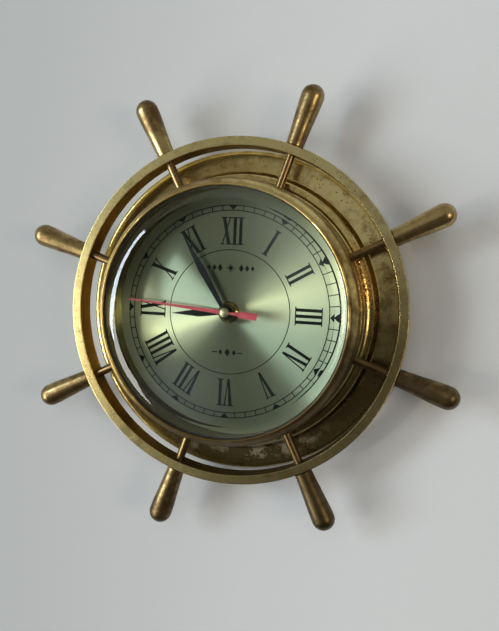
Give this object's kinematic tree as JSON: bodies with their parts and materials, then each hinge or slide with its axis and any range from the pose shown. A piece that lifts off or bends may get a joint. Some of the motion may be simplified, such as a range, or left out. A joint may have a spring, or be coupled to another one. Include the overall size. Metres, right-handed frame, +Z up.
{
  "type": "ship's wheel wall clock",
  "caption": "Brass wall clock in the form of a ship's wheel: flanged drum with bevelled glass and Roman dial, spokes, rim and turned handles, quartz gear train behind the hands.",
  "frame": {"origin": "on the clock's axis, in the plane of the back of the wall flange", "axes": "+Z up to 12 o'clock, the dial faces -Y, the wall is at +Y, +X to the viewer's right"},
  "size_m": [0.2584, 0.0494, 0.2584],
  "materials": {
    "brass_case": "aged polished brass, tarnished in the recesses",
    "brass_wheel": "aged polished brass with fine speckle",
    "brass_handle": "aged polished brass, brown at the ends",
    "brass_fixings": "polished brass",
    "gold_dial": "champagne radial spun brushing, printed in black",
    "clear_glass": "clear polished, rounded bevel",
    "black_rubber": "matt",
    "black_hands": "satin black",
    "red_hand": "satin red",
    "zinc_steel": "zinc plated",
    "black_moulding": "fine grain moulding",
    "white_moulding": "smooth acetal",
    "steel_arbors": "bright turned",
    "nickel_contacts": "nickel plated",
    "battery_sleeve": "plain printed sleeve, no lettering",
    "green_board": "solder mask",
    "black_resin": "epoxy",
    "copper_wire": "enamelled copper winding",
    "silicon_steel": "plain lamination"
  },
  "bodies": {
    "clock": {"case_body": "brass_case", "bezel": "brass_case", "inner_ring": "brass_case", "wheel_rim": "brass_wheel", "spoke_1": "brass_wheel", "spoke_2": "brass_wheel", "spoke_3": "brass_wheel", "spoke_4": "brass_wheel", "spoke_5": "brass_wheel", "spoke_6": "brass_wheel", "spoke_7": "brass_wheel", "spoke_8": "brass_wheel", "handle_1": "brass_handle", "handle_2": "brass_handle", "handle_3": "brass_handle", "handle_4": "brass_handle", "handle_5": "brass_handle", "handle_6": "brass_handle", "handle_7": "brass_handle", "handle_8": "brass_handle", "spoke_nuts": "brass_fixings", "threaded_bush": "brass_fixings", "brass_washer": "brass_fixings", "hex_nut": "brass_fixings", "dial_plate": "gold_dial", "glass": "clear_glass", "glass_gasket": "black_rubber", "rubber_washer": "black_rubber", "hanger_plate": "zinc_steel", "movement_case": "black_moulding", "movement_cover": "black_moulding", "coil_bobbin": "white_moulding", "contact_positive": "nickel_contacts", "contact_negative": "nickel_contacts", "quartz_crystal": "nickel_contacts", "battery": "battery_sleeve", "circuit_board": "green_board", "board_chip": "black_resin", "coil_winding": "copper_wire", "coil_core": "silicon_steel", "stator": "silicon_steel"},
    "rotor": {"rotor": "steel_arbors"},
    "intermediate": {"intermediate_wheel": "white_moulding"},
    "seconds": {"seconds_arbor": "steel_arbors", "seconds_hand": "red_hand", "seconds_cap": "brass_fixings"},
    "third": {"third_wheel": "white_moulding"},
    "minute": {"centre_wheel": "steel_arbors", "minute_pipe": "steel_arbors", "minute_hand": "black_hands"},
    "minute_wheel": {"minute_wheel": "white_moulding"},
    "hour": {"hour_wheel": "white_moulding", "hour_hand": "black_hands"},
    "knob": {"setting_knob": "black_moulding"}
  },
  "joints": [
    {"name": "minute_turn", "type": "hinge", "parent": "clock", "child": "minute", "pos_m": [0, -0.02, 0], "axis": [0, 1, 0], "continuous": true},
    {"name": "hour_turn", "type": "hinge", "parent": "clock", "child": "hour", "pos_m": [0, -0.02, 0], "axis": [0, 1, 0], "continuous": true},
    {"name": "seconds_turn", "type": "hinge", "parent": "clock", "child": "seconds", "pos_m": [0, -0.02, 0], "axis": [0, 1, 0], "continuous": true},
    {"name": "third_turn", "type": "hinge", "parent": "clock", "child": "third", "pos_m": [0.00728, -0.02, 0.00611], "axis": [0, 1, 0], "continuous": true},
    {"name": "intermediate_turn", "type": "hinge", "parent": "clock", "child": "intermediate", "pos_m": [-0.0048, -0.02, 0.00831], "axis": [0, 1, 0], "continuous": true},
    {"name": "rotor_turn", "type": "hinge", "parent": "clock", "child": "rotor", "pos_m": [-0.00553, -0.02, 0.01668], "axis": [0, 1, 0], "continuous": true},
    {"name": "minute_wheel_turn", "type": "hinge", "parent": "clock", "child": "minute_wheel", "pos_m": [-0.00975, -0.02, -0.00172], "axis": [0, 1, 0], "continuous": true},
    {"name": "knob_turn", "type": "hinge", "parent": "clock", "child": "knob", "pos_m": [-0.01832, -0.02, 0.00323], "axis": [0, 1, 0], "continuous": true}
  ],
  "couplings": [
    {"joint": "hour_turn", "follows": "minute_turn", "ratio": 0.083333},
    {"joint": "seconds_turn", "follows": "minute_turn", "ratio": 60},
    {"joint": "third_turn", "follows": "minute_turn", "ratio": -8},
    {"joint": "intermediate_turn", "follows": "minute_turn", "ratio": -300},
    {"joint": "rotor_turn", "follows": "minute_turn", "ratio": 1800},
    {"joint": "minute_wheel_turn", "follows": "minute_turn", "ratio": -0.33333},
    {"joint": "knob_turn", "follows": "minute_turn", "ratio": 1}
  ]
}
